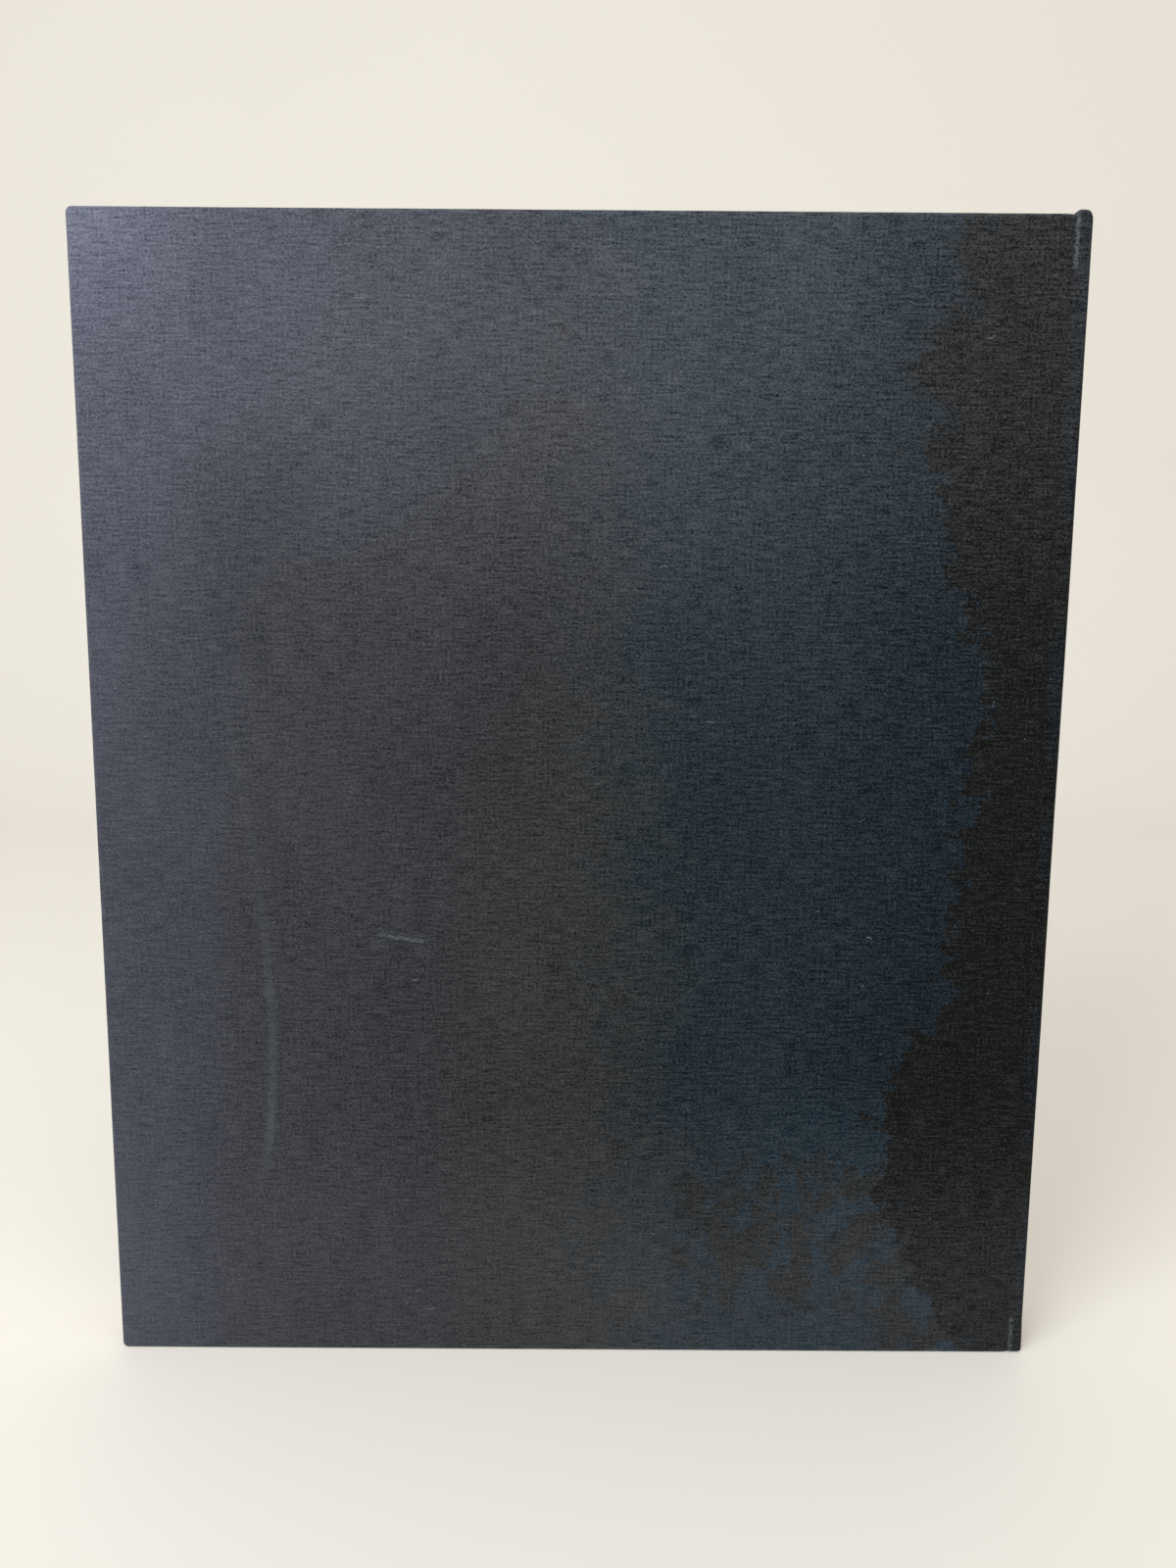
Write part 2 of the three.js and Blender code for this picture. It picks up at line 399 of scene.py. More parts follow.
# Endpapers at the joints, and the free endpapers' folds beside them

PAPER = 0.1
GUTTER_X = JOINT_X - 0.07
BOARD_EDGE_X = pastedown_high[0] + 0.06
JOINT_DEPTH = CASE_HALF - CLOTH_THICKNESS - 0.1


def ribbon(name, line, bottom, top, thickness):
    """A strip of paper along a line of x and y places, from bottom to top."""
    line = [np.array(p, float) for p in line]
    sides = []
    for k, here in enumerate(line):
        along = line[min(k + 1, len(line) - 1)] - line[max(k - 1, 0)]
        normal = np.array([along[1], -along[0]]) / np.linalg.norm(along) * thickness / 2
        sides.append((here + normal, here - normal))
    heights = np.linspace(bottom, top, 24)
    loop = [a for a, _ in sides] + [b for _, b in reversed(sides)]
    points = [(x, y, z) for z in heights for x, y in loop]
    size = len(loop)
    faces = []
    for row in range(len(heights) - 1):
        for k in range(size):
            a, b = row * size + k, row * size + (k + 1) % size
            faces.append((a, b, b + size, a + size))
    faces.append(tuple(reversed(range(size))))
    faces.append(tuple(range(len(points) - size, len(points))))
    return mesh_object(name, points, faces, smooth_faces=False)


def joint_paper(name, sign):
    """Paper that lines a joint: down the gutter to the cloth and back up the edge of the board."""
    flyleaf_y = -(flyleaf_low[1] + flyleaf_high[1]) / 2
    middle_x = (GUTTER_X + BOARD_EDGE_X) / 2
    line = [(GUTTER_X, flyleaf_y), (GUTTER_X, 13), (GUTTER_X, JOINT_DEPTH - 0.12),
            (middle_x, JOINT_DEPTH - 0.04), (BOARD_EDGE_X, JOINT_DEPTH - 0.12), (BOARD_EDGE_X, 13),
            (BOARD_EDGE_X, -pastedown_high[1] + 0.1)]
    line = [(x, sign * y) for x, y in line]
    return ribbon(name, line, flyleaf_low[2] + 0.5, flyleaf_high[2] - 0.5, PAPER)


def gutter_fold(name, sign):
    """The free endpaper's last strip, from its edge to the joint."""
    y = sign * -(flyleaf_low[1] + flyleaf_high[1]) / 2
    line = [(flyleaf_high[0] - 2, y), (flyleaf_high[0], y), (GUTTER_X + PAPER / 2, y)]
    return ribbon(name, line, flyleaf_low[2] + 0.3, flyleaf_high[2] - 0.3, PAPER * 1.4)


# Bands at the head and the tail: thread wound round a core

THREAD_PITCH = 0.62
THREAD_DEPTH = 0.09
RINGS_A_TURN = 6
BAND_SIDES = 14


def make_band(name, low, high):
    """A wound bead along the back edge of the leaves, inside the band's own box."""
    radius = (high[2] - low[2]) / 2 - 0.01
    middle_x, middle_z = (high[0] + low[0]) / 2, (high[2] + low[2]) / 2
    length = high[1] - low[1] - 0.1
    rings = round(length / THREAD_PITCH) * RINGS_A_TURN
    sides = BAND_SIDES
    points, faces = [], []
    for i in range(rings + 1):
        wound = 1 - abs(math.sin(math.pi * i / RINGS_A_TURN)) ** 0.7
        r = radius - THREAD_DEPTH * wound
        for k in range(sides):
            turn = 2 * math.pi * k / sides
            points.append((middle_x + r * math.cos(turn), length * (i / rings - 0.5),
                           middle_z + r * math.sin(turn)))
    for i in range(rings):
        for k in range(sides):
            a, b = i * sides + k, i * sides + (k + 1) % sides
            faces.append((a, a + sides, b + sides, b))
    faces.append(tuple(range(sides)))
    faces.append(tuple(reversed(range(rings * sides, rings * sides + sides))))
    return mesh_object(name, points, faces)


# Lint: short pale fibres and specks that cling to the back cover's cloth

FIBRES = 70
SPECKS = 90
FIBRE_STEPS = 7
# The longest hairs: where each starts from the fore edge and the tail, its length, how far it
# curls, its first direction and its thickness
HAIRS = [
    ((114.0, 127.8), 17, -0.9, -1.0, 0.05), ((98.4, 127.4), 5, 2.6, -0.4, 0.06),
    ((244.2, 140.2), 3.5, 3.4, 0.6, 0.07), ((271.0, 325.0), 3.5, 2.4, -0.9, 0.07),
    ((84.2, 334.7), 3, 0.3, 0.1, 0.08), ((192.6, 210.0), 3, 1.8, 2.4, 0.05),
]
lint_rng = np.random.default_rng(5)


def fibre_points(start, length, bend, turn):
    """A curved line on the cover from a place, as x and z."""
    x, z = start
    heading = turn
    line = [(x, z)]
    for _ in range(FIBRE_STEPS):
        heading += bend / FIBRE_STEPS + lint_rng.normal(0, 0.12)
        x += length / FIBRE_STEPS * math.cos(heading)
        z += length / FIBRE_STEPS * math.sin(heading)
        line.append((x, z))
    return line


def make_lint():
    points, faces = [], []
    face_y = -CASE_HALF - 0.03

    def add_tube(line, radius):
        first = len(points)
        for k, (x, z) in enumerate(line):
            lift = 0.05 * math.sin(math.pi * k / (len(line) - 1))
            for side in range(3):
                turn = 2 * math.pi * side / 3 + math.pi / 2
                points.append((x, face_y - lift + radius * math.sin(turn), z + radius * math.cos(turn)))
        for k in range(len(line) - 1):
            for side in range(3):
                a, b = first + 3 * k + side, first + 3 * k + (side + 1) % 3
                faces.append((a, a + 3, b + 3, b))
        faces.append((first, first + 1, first + 2))
        end = first + 3 * (len(line) - 1)
        faces.append((end + 2, end + 1, end))

    for (from_fore, height), length, bend, turn, radius in HAIRS:
        add_tube(fibre_points((FORE_X + from_fore, height), length, bend, turn), radius)
    for _ in range(FIBRES):
        start = (FORE_X + 285 * lint_rng.beta(1.4, 1.0), 5 + 345 * lint_rng.beta(1.0, 1.35))
        add_tube(fibre_points(start, lint_rng.uniform(0.7, 2.6), lint_rng.normal(0, 1.6),
                              lint_rng.uniform(0, 6.3)), lint_rng.uniform(0.03, 0.055))
    for _ in range(SPECKS):
        x, z = FORE_X + 3 + 288 * lint_rng.beta(1.3, 1.0), 3 + 352 * lint_rng.beta(1.0, 1.3)
        half = lint_rng.uniform(0.05, 0.14)
        add_tube([(x - half, z), (x, z + half * 0.2), (x + half, z)], half * 0.8)
    return mesh_object("lint", points, faces)


# Materials

class Shader:
    """A node material, built call by call; each call returns the socket it made."""

    def __init__(self, name):
        self.material = bpy.data.materials.new(name)
        self.material.use_nodes = True
        self.tree = self.material.node_tree
        self.tree.nodes.clear()
        out = self.tree.nodes.new("ShaderNodeOutputMaterial")
        self.surface = self.tree.nodes.new("ShaderNodeBsdfPrincipled")
        self.tree.links.new(self.surface.outputs[0], out.inputs[0])

    def put(self, socket, value):
        """Links a socket's result to a socket, or sets a plain value on it."""
        if isinstance(value, bpy.types.NodeSocket):
            self.tree.links.new(value, socket)
        else:
            socket.default_value = value

    def node(self, kind, inputs, **settings):
        made = self.tree.nodes.new(kind)
        for key, value in settings.items():
            setattr(made, key, value)
        for key, value in inputs.items():
            self.put(made.inputs[key], value)
        return made

    def set(self, **values):
        for key, value in values.items():
            self.put(self.surface.inputs[key.replace("_", " ")], value)

    def math(self, operation, a, b=0.0, c=0.0):
        return self.node("ShaderNodeMath", {0: a, 1: b, 2: c}, operation=operation).outputs[0]

    def times(self, a, b):
        return self.math("MULTIPLY", a, b)

    def plus(self, a, b):
        return self.math("ADD", a, b)

    def minus(self, a, b):
        return self.math("SUBTRACT", a, b)

    def away(self, value, middle):
        """How far a value is from a middle one, on either side."""
        return self.math("ABSOLUTE", self.minus(value, middle))

    def place(self):
        """Place on the flat cloth in millimetres: across and up."""
        made = self.node("ShaderNodeAttribute", {}, attribute_name="place")
        return self.node("ShaderNodeSeparateXYZ", {0: made.outputs["Vector"]}).outputs

    def object_place(self):
        """Place on the object in millimetres."""
        made = self.node("ShaderNodeTexCoord", {}).outputs["Object"]
        scaled = self.node("ShaderNodeVectorMath", {0: made, 3: 1 / MM}, operation="SCALE").outputs[0]
        return self.node("ShaderNodeSeparateXYZ", {0: scaled}).outputs

    def noise(self, x, z, y=0.0, detail=2.0, roughness=0.5):
        """Noise from 0 to 1 at a place that is already divided by the wavelength."""
        at = self.node("ShaderNodeCombineXYZ", {0: x, 1: y, 2: z}).outputs[0]
        return self.node("ShaderNodeTexNoise", {"Vector": at, "Scale": 1.0, "Detail": detail,
                                                "Roughness": roughness}).outputs["Fac"]

    def spread(self, value, length):
        return self.math("DIVIDE", value, length)

    def ramp(self, value, low, high, start=0.0, end=1.0, eased=True):
        """Goes from start to end as the value goes from low to high."""
        kind = "SMOOTHSTEP" if eased else "LINEAR"
        return self.node("ShaderNodeMapRange", {0: value, 1: low, 2: high, 3: start, 4: end},
                         interpolation_type=kind).outputs[0]

    def curve(self, value, low, high, out_low, out_high, stops):
        """A smooth line through stops of (value, result)."""
        made = self.node("ShaderNodeFloatCurve", {})
        line = made.mapping.curves[0]
        spots = [((a - low) / (high - low), (b - out_low) / (out_high - out_low)) for a, b in stops]
        while len(line.points) < len(spots):
            line.points.new(0.5, 0.5)
        for point, spot in zip(line.points, spots):
            point.location = spot
        made.mapping.update()
        self.put(made.inputs["Value"], self.ramp(value, low, high, eased=False))
        return self.ramp(made.outputs[0], 0.0, 1.0, out_low, out_high, eased=False)

    def mix(self, share, a, b):
        made = self.node("ShaderNodeMix", {}, data_type="RGBA")
        self.put(made.inputs["Factor"], share)
        colours = [socket for socket in made.inputs if socket.type == "RGBA"]
        self.put(colours[0], a)
        self.put(colours[1], b)
        return [socket for socket in made.outputs if socket.type == "RGBA"][0]

    def shade(self, colour, amount):
        """Multiplies a colour by a number."""
        return self.node("ShaderNodeVectorMath", {0: colour, 3: amount}, operation="SCALE").outputs[0]

    def vector(self, operation, a, b):
        return self.node("ShaderNodeVectorMath", {0: a, 1: b}, operation=operation).outputs[0]

    def bump(self, height, distance, strength=1.0, normal=None):
        inputs = {"Height": height, "Distance": distance * MM, "Strength": strength}
        if normal is not None:
            inputs["Normal"] = normal
        return self.node("ShaderNodeBump", inputs).outputs[0]


def srgb(red, green, blue):
    """A colour given as it shows on screen, 0 to 255."""
    def linear(value):
        value /= 255
        return value / 12.92 if value <= 0.04045 else ((value + 0.055) / 1.055) ** 2.4
    return (linear(red), linear(green), linear(blue), 1.0)


# Book cloth. Colours are read where the cloth lies flat: w across from the middle of the spine, below
# zero on the back half, z up, and u the distance from the fore edge.

MIDDLE = srgb(45, 46, 47)
# Bluish grey painted sheen of the window light, strongest at the fore edge
LEFT_SHEEN = srgb(69, 71, 82)
BLUE = srgb(30, 40, 46)
DEEP_BLUE = srgb(19, 32, 40)
TAIL_BLUE = srgb(32, 44, 53)
BLACK = srgb(16, 16, 15)
PATCH = srgb(33, 34, 34)
# Dark bluish patches on the spine strip: partly dye, partly painted shade where the spine turns away from
# the light
SPINE_DYE_AND_SHADE = srgb(20, 27, 33)
# Pale rubbed colour of the edges, crease and scuff, also the painted highlight beside the joint
WEAR_AND_HIGHLIGHT = srgb(104, 112, 116)
# Painted sheen: the window light's bluish reflection, added to the dye, less blue on the spine
PAINTED_SHEEN = (0.052, 0.056, 0.077, 1.0)
SPINE_PAINTED_SHEEN = (0.052, 0.054, 0.06, 1.0)
# A fainter painted sheen near the tail, stronger towards the spine
TAIL_PAINTED_SHEEN = (0.0145, 0.0145, 0.0155)
# Painted highlights on the threads, added where the threads stand up
THREAD_HIGHLIGHT = (0.044, 0.044, 0.046)
DARKEST = (0.0025, 0.0025, 0.0025)
WARP_PITCH = 0.46
WEFT_PITCH = 0.5

# Where the dye turns blue and then black: pairs of height and distance from the fore edge
BLUE_FROM = [(0, 178), (82, 175), (169, 168), (230, 164), (300, 165), (360, 151)]
BLACK_FROM = [
    (0, 282), (40, 258), (84, 249), (110, 260), (136, 270), (160, 271), (190, 270), (217, 277),
    (240, 269), (258, 265), (271, 260), (293, 255), (323, 253), (337, 263), (360, 261)]
FRONT_BLACK_FROM = 278.0
# How much of the left-hand painted sheen tone and of the painted sheen there is at a distance from the fore
# edge
LEFT_SHEEN_SHARE = [(0, 0.9), (17, 0.7), (60, 0.29), (137, 0.04), (160, 0.0), (300, 0.0)]
SHEEN_ACROSS = [(0, 1.0), (30, 0.95), (118, 0.73), (222, 0.67), (285, 0.36), (300, 0.36)]
# How much painted sheen there is at a height
SHEEN_UP = [
    (0, 0.0), (150, 0.0), (190, 0.03), (215, 0.08), (250, 0.27), (275, 0.5), (300, 0.66), (332, 0.84),
    (370, 1.02)]
# A long faint crease: its distance from the fore edge and its strength at a height
CREASE_FROM = [
    (50, 44.6), (67, 50.3), (90, 52.6), (115, 53), (145, 51.4), (169, 48.8), (194, 45.1), (229, 39.3),
    (247, 33.1), (330, 31.6)]
CREASE_STRENGTH = [
    (50, 0), (66, 0.5), (85, 1), (112, 0.9), (135, 0.45), (180, 0.25), (250, 0.15), (300, 0.1), (330, 0)]
# A rubbed smudge and a short scuff: their middles from the fore edge and the tail
SMUDGE_AT = (52.0, 262.0)
SCUFF_AT = (95.6, 141.0)
SCUFF_SLOPE = 0.155


class ClothShader(Shader):
    """The cloth's own material: its dye, threads and rubbed marks, with painted sheen, painted highlights
    and some painted shade.
    """

    def __init__(self, name):
        super().__init__(name)
        self.w, self.z, _ = self.place()
        self.u = self.minus(JOINT_X + SPINE_HALF_LENGTH - FORE_X, self.math("ABSOLUTE", self.w))
        self.back = self.ramp(self.w, -4.0, 4.0, 1.0, 0.0)
        self.slub = self.shift(7, 0.75, 2.0, 1.0, detail=3.0, roughness=0.65)
        self.grain = self.shift(0.85, 0.7, 4.0, 1.0, detail=3.0, roughness=0.75)
        self.weave = self.plain_weave()

    def shift(self, size_w, size_z, layer, amount, detail=5.0, roughness=0.6):
        """Noise about zero with a wavelength across and one up; each layer differs."""
        value = self.noise(self.spread(self.w, size_w), self.spread(self.z, size_z), y=layer,
                           detail=detail, roughness=roughness)
        return self.times(self.minus(value, 0.5), amount)

    def plain_weave(self):
        wave = self.shift(22, 22, 1.0, 2.2, detail=3.0)
        warp = self.math("SINE", self.times(self.plus(self.w, wave), math.pi / WARP_PITCH))
        weft = self.math("SINE", self.times(self.plus(self.z, wave), math.pi / WEFT_PITCH))
        return self.times(warp, weft)

    def threads(self):
        """Thread by thread: a plain weave with uneven wefts."""
        warp_slub = self.shift(0.9, 12, 5.0, 1.0, detail=2.0)
        thread = self.math("MULTIPLY_ADD", self.slub, 1.6, self.times(self.weave, 0.2))
        thread = self.math("MULTIPLY_ADD", warp_slub, 0.45, thread)
        thread = self.math("MULTIPLY_ADD", self.grain, 2.8, thread)
        return self.math("MAXIMUM", thread, -0.85)

    def patches(self):
        """How much of a dark patch there is: they lie near the tail of the back cover."""
        patch = self.noise(self.spread(self.w, 11), self.spread(self.z, 14), y=9.0, detail=7.0,
                           roughness=0.66)
        zone = self.times(self.ramp(self.u, 152.0, 195.0), self.ramp(self.z, 52.0, 105.0, 1.0, 0.0))
        zone = self.times(zone, self.back)
        patch = self.minus(patch, self.ramp(zone, 0.0, 1.0, 0.78, 0.475))
        patch = self.times(self.ramp(patch, -0.015, 0.02), zone)
        foot = self.times(self.ramp(self.z, 9.0, 18.0, 1.0, 0.0), self.ramp(self.u, 244.0, 256.0, 1.0, 0.0))
        return self.times(patch, self.minus(1.0, foot))

    def dye(self):
        """The dyed colour: it changes along ragged lines up the cover. Near the fore edge it carries a
        painted sheen tone, and on the spine strip some painted shade.
        """
        u, z, back = self.u, self.z, self.back
        ragged = self.shift(7, 6, 3.0, 46, detail=6.0, roughness=0.72)
        ragged = self.plus(self.shift(30, 22, 0.0, 46), ragged)
        blue_from = self.curve(z, 0, 360, 130, 190, BLUE_FROM)
        to_blue = self.plus(self.minus(u, blue_from), self.times(ragged, 1.6))
        blue = self.times(self.ramp(to_blue, -24.0, 24.0), back)
        front_black = self.times(self.minus(1.0, back), FRONT_BLACK_FROM)
        black_from = self.curve(z, 0, 360, 220, 300, BLACK_FROM)
        black_from = self.math("MULTIPLY_ADD", black_from, back, front_black)
        to_black = self.plus(self.minus(u, black_from), ragged)

        # Painted sheen: towards the fore edge the colour turns to the bluish grey tone
        colour = self.mix(self.curve(u, 0, 300, 0, 1, LEFT_SHEEN_SHARE), MIDDLE, LEFT_SHEEN)
        upper_blue = self.mix(self.ramp(to_black, -52.0, -8.0), BLUE, DEEP_BLUE)
        colour = self.mix(blue, colour, self.mix(self.ramp(z, 40.0, 110.0), TAIL_BLUE, upper_blue))
        colour = self.mix(self.times(self.patches(), 0.9), colour, PATCH)
        colour = self.mix(self.times(self.ramp(to_black, -1.0, 1.2), 0.95), colour, BLACK)
        # Dark bluish patches past the joint: partly dye, partly painted shade of the spine's turn
        band = self.ramp(self.shift(9, 40, 12.0, 1.0), -0.1, 0.1)
        band = self.times(self.ramp(u, 295.4, 296.6), band)
        return self.mix(self.times(band, 0.8), colour, SPINE_DYE_AND_SHADE)

    def painted_sheen(self):
        """How much painted bluish sheen of the window light lies on the dye: most at the head and the fore
        edge.
        """
        u, z = self.u, self.z
        # An extra painted highlight at the top corner by the fore edge; the smudge halves the painted sheen
        corner = self.times(self.ramp(u, 0.0, 50.0, 0.7, 0.0), self.ramp(z, 312.0, 366.0))
        smudge = self.times(self.ramp(self.away(u, SMUDGE_AT[0]), 4.0, 32.0, 1.0, 0.0),
                            self.ramp(self.away(z, SMUDGE_AT[1]), 12.0, 46.0, 1.0, 0.0))
        across = self.curve(u, 0, 300, 0, 1, SHEEN_ACROSS)
        painted_sheen = self.times(across, self.curve(z, 0, 370, 0, 1.1, SHEEN_UP))
        return self.times(self.plus(painted_sheen, corner), self.minus(1.0, self.times(smudge, 0.5)))

    def worn_edges(self):
        from_end = self.math("MINIMUM", self.z, self.minus(HEAD_Z, self.z))
        from_edge = self.math("ABSOLUTE", self.math("MINIMUM", from_end, self.u))
        rub = self.noise(self.spread(self.w, 7), self.spread(self.z, 7), y=7.0, detail=5.0, roughness=0.65)
        return self.times(self.ramp(from_edge, 0.2, 1.8, 1.0, 0.0), self.ramp(rub, 0.42, 0.7))

    def worn_and_lit_flank(self, fray):
        """Pale lines beside the joint, where the cloth is doubled at the head and the tail: partly rubbing,
        partly a painted highlight on the lit flank of the doubled cloth.
        """
        flank = self.minus(self.u, JOINT_X - FORE_X)
        line = self.times(self.ramp(flank, 0.2, 0.7), self.ramp(flank, 1.3, 2.0, 1.0, 0.0))
        head_part = self.times(self.ramp(self.z, HEAD_Z - 15.6, HEAD_Z - 15.0), 0.5)
        tail_part = self.ramp(self.z, *TAIL_DOUBLED, 0.5, 0.0)
        return self.times(self.times(line, self.math("MAXIMUM", head_part, tail_part)), fray)

    def crease(self):
        from_fore = self.curve(self.z, 50, 330, 25, 60, CREASE_FROM)
        line = self.ramp(self.away(self.u, from_fore), 0.3, 2.2, 1.0, 0.0)
        return self.times(self.times(line, self.curve(self.z, 50, 330, 0, 1, CREASE_STRENGTH)), self.back)

    def scuff(self, fray):
        along = self.minus(self.u, SCUFF_AT[0])
        aside = self.minus(self.math("MULTIPLY_ADD", along, SCUFF_SLOPE, self.z), SCUFF_AT[1])
        line = self.times(self.ramp(self.math("ABSOLUTE", aside), 0.1, 1.1, 1.0, 0.0),
                          self.ramp(self.math("ABSOLUTE", along), 2.0, 11.5, 1.0, 0.0))
        return self.times(self.times(line, fray), self.back)

    def wear_and_highlight(self):
        """How pale the cloth is rubbed, by the strongest of its marks; the lines beside the joint are
        partly a painted highlight.
        """
        fray = self.ramp(self.plus(self.grain, self.times(self.slub, 0.5)), -0.12, 0.12, 0.2, 1.0)
        worn_and_lit = self.math("MAXIMUM", self.times(self.worn_edges(), 0.4), self.worn_and_lit_flank(fray))
        worn_and_lit = self.math("MAXIMUM", worn_and_lit, self.times(self.crease(), 0.14))
        return self.math("MAXIMUM", worn_and_lit, self.times(self.scuff(fray), 0.6))


def cloth_material():
    s = ClothShader("book_cloth")
    thread = s.threads()
    cloud = s.shift(55, 70, 6.0, 0.7)
    colour = s.shade(s.dye(), s.plus(s.math("MULTIPLY_ADD", thread, 0.25, 1.0), cloud))
    # Painted sheen, varied by the threads and the mottling, and less blue towards the spine
    painted_sheen = s.times(s.painted_sheen(), s.plus(s.plus(thread, 1.0), cloud))
    sheen_tint = s.mix(s.ramp(s.u, 90.0, 260.0), PAINTED_SHEEN, SPINE_PAINTED_SHEEN)
    # Painted sheen near the tail
    tail_sheen = s.times(s.ramp(s.z, 20.0, 95.0, 1.0, 0.0), s.ramp(s.u, 0.0, 240.0, 0.45, 1.0))
    # Painted light added to the dye: the sheen, the sheen near the tail and highlights on the threads
    for tint, amount in ((sheen_tint, painted_sheen), (TAIL_PAINTED_SHEEN, tail_sheen), (THREAD_HIGHLIGHT, thread)):
        colour = s.vector("ADD", colour, s.shade(tint, amount))
    # Pale rubbed marks, with the painted highlight beside the joint
    colour = s.mix(s.wear_and_highlight(), s.vector("MAXIMUM", colour, DARKEST), WEAR_AND_HIGHLIGHT)
    height = s.math("MULTIPLY_ADD", s.slub, 1.2, s.weave)
    height = s.math("MULTIPLY_ADD", s.grain, 1.6, height)
    rough = s.ramp(s.grain, -0.2, 0.2, 0.55, 0.75)
    s.set(Base_Color=colour, Roughness=rough, Normal=s.bump(height, 0.05, 0.8))
    s.surface.inputs["Specular IOR Level"].default_value = 0.07
    return s.material


def paper_edge_material():
    """The cut edges of the leaves: one tone for each leaf, and yellowed towards the outside."""
    s = Shader("paper_edges")
    x, y, z = s.object_place()
    leaf = s.noise(s.spread(x, 60), s.spread(z, 60), y=s.spread(y, 0.16), detail=3.0, roughness=0.7)
    stain = s.noise(s.spread(x, 30), s.spread(z, 30), y=s.spread(y, 5), detail=4.0)
    colour = s.mix(s.ramp(leaf, 0.3, 0.7), srgb(206, 194, 168), srgb(243, 236, 220))
    colour = s.mix(s.ramp(stain, 0.5, 0.8, 0.0, 0.35), colour, srgb(196, 176, 140))
    s.set(Base_Color=colour, Roughness=0.82, Normal=s.bump(leaf, 0.03, 0.5))
    return s.material


def endpaper_material():
    s = Shader("endpaper")
    x, y, z = s.object_place()
    pulp = s.noise(s.spread(x, 0.9), s.spread(z, 0.9), y=s.spread(y, 0.9), detail=5.0, roughness=0.7)
    foxing = s.noise(s.spread(x, 14), s.spread(z, 14), y=s.spread(y, 30), detail=6.0, roughness=0.7)
    end = s.math("MINIMUM", s.minus(z, flyleaf_low[2]), s.minus(flyleaf_high[2], z))
    edge = s.math("MINIMUM", s.minus(x, flyleaf_low[0]), end)
    colour = s.mix(pulp, srgb(228, 220, 202), srgb(240, 234, 220))
    toned = s.times(s.ramp(edge, 0.0, 18.0, 1.0, 0.0), 0.45)
    toned = s.math("MAXIMUM", toned, s.ramp(foxing, 0.62, 0.8, 0.0, 0.5))
    colour = s.mix(toned, colour, srgb(212, 190, 150))
    s.set(Base_Color=colour, Roughness=0.78, Normal=s.bump(pulp, 0.02, 0.5))
    return s.material


def board_material():
    s = Shader("greyboard")
    x, y, z = s.object_place()
    pulp = s.noise(s.spread(x, 0.8), s.spread(z, 0.8), y=s.spread(y, 0.25), detail=6.0, roughness=0.7)
    fleck = s.noise(s.spread(x, 2.4), s.spread(z, 1.2), y=s.spread(y, 1.2), detail=3.0)
    colour = s.mix(pulp, srgb(120, 113, 102), srgb(158, 150, 136))
    colour = s.mix(s.ramp(fleck, 0.62, 0.7, 0.0, 0.6), colour, srgb(92, 84, 74))
    s.set(Base_Color=colour, Roughness=0.95, Normal=s.bump(pulp, 0.06, 0.7))
    return s.material


def gauze_material():
    s = Shader("gauze")
    x, y, z = s.object_place()
    across, up = s.math("SINE", s.times(y, 6.0)), s.math("SINE", s.times(z, 5.4))
    threads = s.math("MAXIMUM", across, up)
    open_part = s.ramp(threads, 0.2, 0.7)
    glue = s.noise(s.spread(x, 6), s.spread(z, 6), y=s.spread(y, 6), detail=3.0)
    colour = s.mix(open_part, srgb(170, 156, 126), srgb(222, 214, 192))
    colour = s.mix(s.ramp(glue, 0.5, 0.8, 0.0, 0.5), colour, srgb(186, 160, 112))
    s.set(Base_Color=colour, Roughness=0.9, Normal=s.bump(threads, 0.12, 0.8))
    return s.material


def brown_paper_material():
    s = Shader("brown_paper")
    x, y, z = s.object_place()
    pulp = s.noise(s.spread(x, 1), s.spread(z, 6), y=s.spread(y, 1), detail=6.0, roughness=0.7)
    colour = s.mix(pulp, srgb(142, 112, 78), srgb(182, 150, 112))
    s.set(Base_Color=colour, Roughness=0.88, Normal=s.bump(pulp, 0.04, 0.6))
    return s.material


def thread_material():
    s = Shader("band_thread")
    x, y, z = s.object_place()
    strand = s.noise(s.spread(x, 0.5), s.spread(z, 1.4), y=s.spread(y, 0.12), detail=3.0, roughness=0.6)
    colour = s.mix(strand, srgb(24, 27, 33), srgb(58, 64, 74))
    s.set(Base_Color=colour, Roughness=0.55, Normal=s.bump(strand, 0.04, 0.6))
    s.surface.inputs["Sheen Weight"].default_value = 0.2
    return s.material


def lint_material():
    s = Shader("lint_fibre")
    x, _, z = s.object_place()
    tone = s.noise(s.spread(x, 9), s.spread(z, 9), detail=1.0)
    s.set(Base_Color=s.mix(tone, srgb(110, 116, 124), srgb(186, 190, 192)), Roughness=0.9)
    return s.material


# The camera sees the surface this much paler than its colour under the lamps
BACKDROP_LIFT = 0.13


def backdrop_material():
    """A plain pale surface that keeps the book's shadow."""
    s = Shader("pale_surface")
    x, y, z = s.object_place()
    faint = s.noise(s.spread(x, 400), s.spread(z, 400), y=s.spread(y, 400), detail=2.0)
    s.set(Base_Color=s.mix(faint, srgb(233, 229, 220), srgb(238, 234, 226)), Roughness=0.6)
    seen = s.node("ShaderNodeLightPath", {}).outputs
    seen = s.math("MAXIMUM", seen["Is Camera Ray"], seen["Is Glossy Ray"])
    s.set(Emission_Strength=s.times(seen, BACKDROP_LIFT))
    s.surface.inputs["Emission Color"].default_value = srgb(255, 247, 236)
    return s.material


# Put together

def dress(obj, material):
    obj.data.materials.clear()
    obj.data.materials.append(material)


cloth = cloth_material()
endpaper = endpaper_material()
greyboard = board_material()
thread = thread_material()

leaves = make_leaves()
dress(leaves, paper_edge_material())
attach(leaves, "block")
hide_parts("text_block")

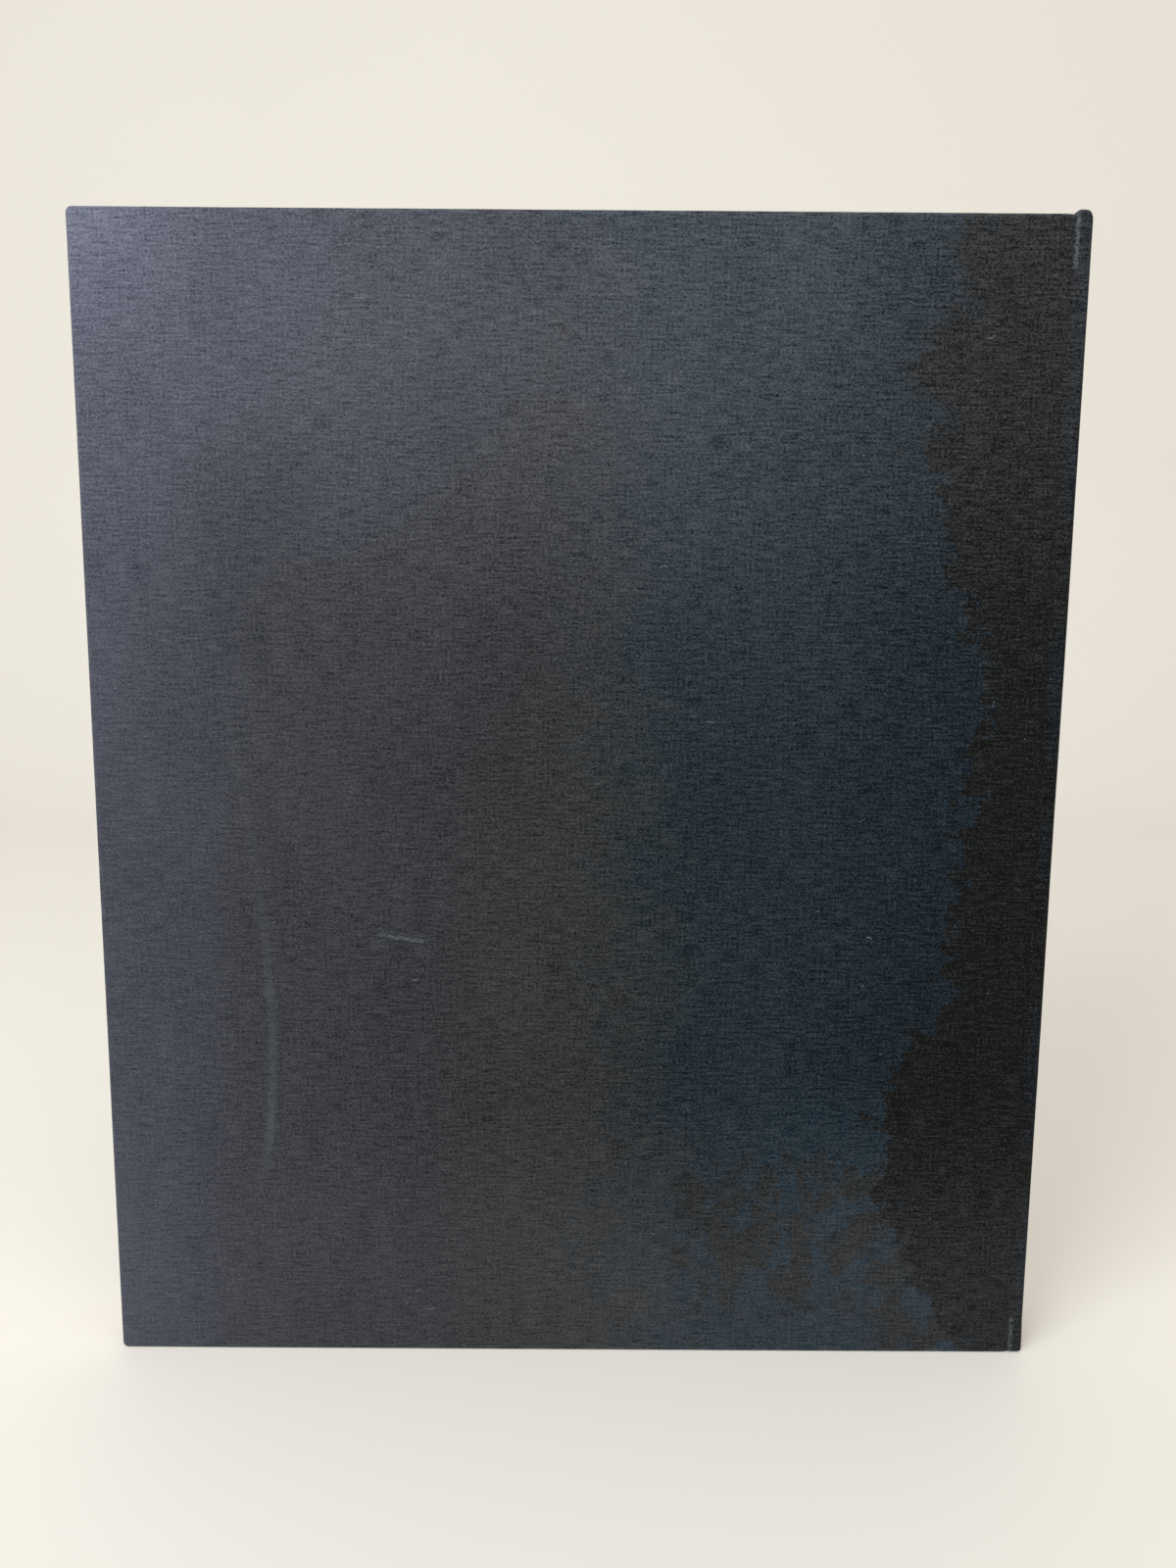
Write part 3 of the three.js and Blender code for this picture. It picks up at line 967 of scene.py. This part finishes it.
for piece, body, sign in ((back_case, "back_cover", -1), (front_case, "front_cover", 1)):
    dress(piece, cloth)
    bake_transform(piece)
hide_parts("back_cover_cloth", "spine_cloth")
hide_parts("front_cover_cloth")

for cover, sign in (("back", -1), ("front", 1)):
    paper = joint_paper(f"{cover}_joint_paper", sign)
    dress(paper, endpaper)
    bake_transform(paper)
    fold = gutter_fold(f"{cover}_gutter_fold", sign)
    dress(fold, endpaper)
    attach(fold, "block")
    dress(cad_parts[f"{cover}_flyleaf"], endpaper)
    dress(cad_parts[f"{cover}_pastedown"], endpaper)
    dress(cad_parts[f"{cover}_board"], greyboard)

for node in ("head_band", "tail_band"):
    band = make_band(f"wound_{node}", *box_mm(node))
    dress(band, thread)
    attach(band, "block")
    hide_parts(node)

dress(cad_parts["mull"], gauze_material())
dress(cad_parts["spine_lining"], brown_paper_material())
dress(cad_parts["spine_board"], greyboard)

lint = make_lint()
dress(lint, lint_material())
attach(lint, "back_cover")


# Pale surface and wall in one sheet, with a wide curve between them

BEND_STEPS = 16
BACKDROP_GAP = 0.02


def make_backdrop():
    half, front, wall, height, bend = 5200, -4000, 1500, 4600, 500
    line = [(front, 0), (wall - bend, 0)]
    for step in range(1, BEND_STEPS + 1):
        turn = math.pi / 2 * step / BEND_STEPS
        line.append((wall - bend + bend * math.sin(turn), bend - bend * math.cos(turn)))
    line.append((wall, height))
    points = [(x, y, z - BACKDROP_GAP) for y, z in line for x in (-half, half)]
    faces = [(2 * k, 2 * k + 1, 2 * k + 3, 2 * k + 2) for k in range(len(line) - 1)]
    backdrop = mesh_object("backdrop", points, faces)
    dress(backdrop, backdrop_material())


# Lights: a large soft window-like one at the upper left front, a weak broad one, and an even world

def area_light(name, place, target, size, power, colour):
    data = bpy.data.lights.new(name, "AREA")
    data.shape = "SQUARE"
    data.size = size
    data.energy = power
    data.color = colour
    obj = bpy.data.objects.new(name, data)
    bpy.context.scene.collection.objects.link(obj)
    obj.location = place
    obj.rotation_euler = (Vector(target) - Vector(place)).to_track_quat("-Z", "Y").to_euler()


def set_world(colour, strength):
    world = bpy.data.worlds.new("world")
    world.use_nodes = True
    background = world.node_tree.nodes["Background"]
    background.inputs[0].default_value = colour
    background.inputs[1].default_value = strength
    bpy.context.scene.world = world


# Camera: solved from the cover's corners and the spine's outline in the photo

CAMERA_PLACE = (FORE_X + 153.3, -CASE_HALF - 348.0, 237.3)
CAMERA_YAW = math.radians(0.10)
CAMERA_PITCH = math.radians(7.61)
CAMERA_ROLL = math.radians(0.41)
CAMERA_LENS = 25.875


def make_camera():
    data = bpy.data.cameras.new("camera")
    data.sensor_width = 36
    data.lens = CAMERA_LENS
    data.clip_start = 0.01
    obj = bpy.data.objects.new("camera", data)
    bpy.context.scene.collection.objects.link(obj)
    ahead = math.cos(CAMERA_PITCH)
    forward = Vector((math.sin(CAMERA_YAW) * ahead, math.cos(CAMERA_YAW) * ahead,
                      -math.sin(CAMERA_PITCH)))
    right = Vector((math.cos(CAMERA_YAW), -math.sin(CAMERA_YAW), 0))
    up = right.cross(forward)
    turned_right = right * math.cos(CAMERA_ROLL) + up * math.sin(CAMERA_ROLL)
    turned_up = up * math.cos(CAMERA_ROLL) - right * math.sin(CAMERA_ROLL)
    turn = Matrix((turned_right, turned_up, -forward)).transposed().to_4x4()
    obj.matrix_world = Matrix.Translation(Vector(CAMERA_PLACE) * MM) @ turn
    bpy.context.scene.camera = obj


make_backdrop()
area_light("window", (-0.95, -1.1, 0.95), (0, 0, 0.2), 0.9, 19, (0.92, 0.96, 1.0))
area_light("room", (0.9, -1.4, 1.7), (0, 0, 0.1), 1.8, 9, (1.0, 0.97, 0.92))
set_world((1.0, 0.985, 0.965, 1.0), 0.59)
make_camera()
bpy.context.scene.view_settings.view_transform = "Standard"
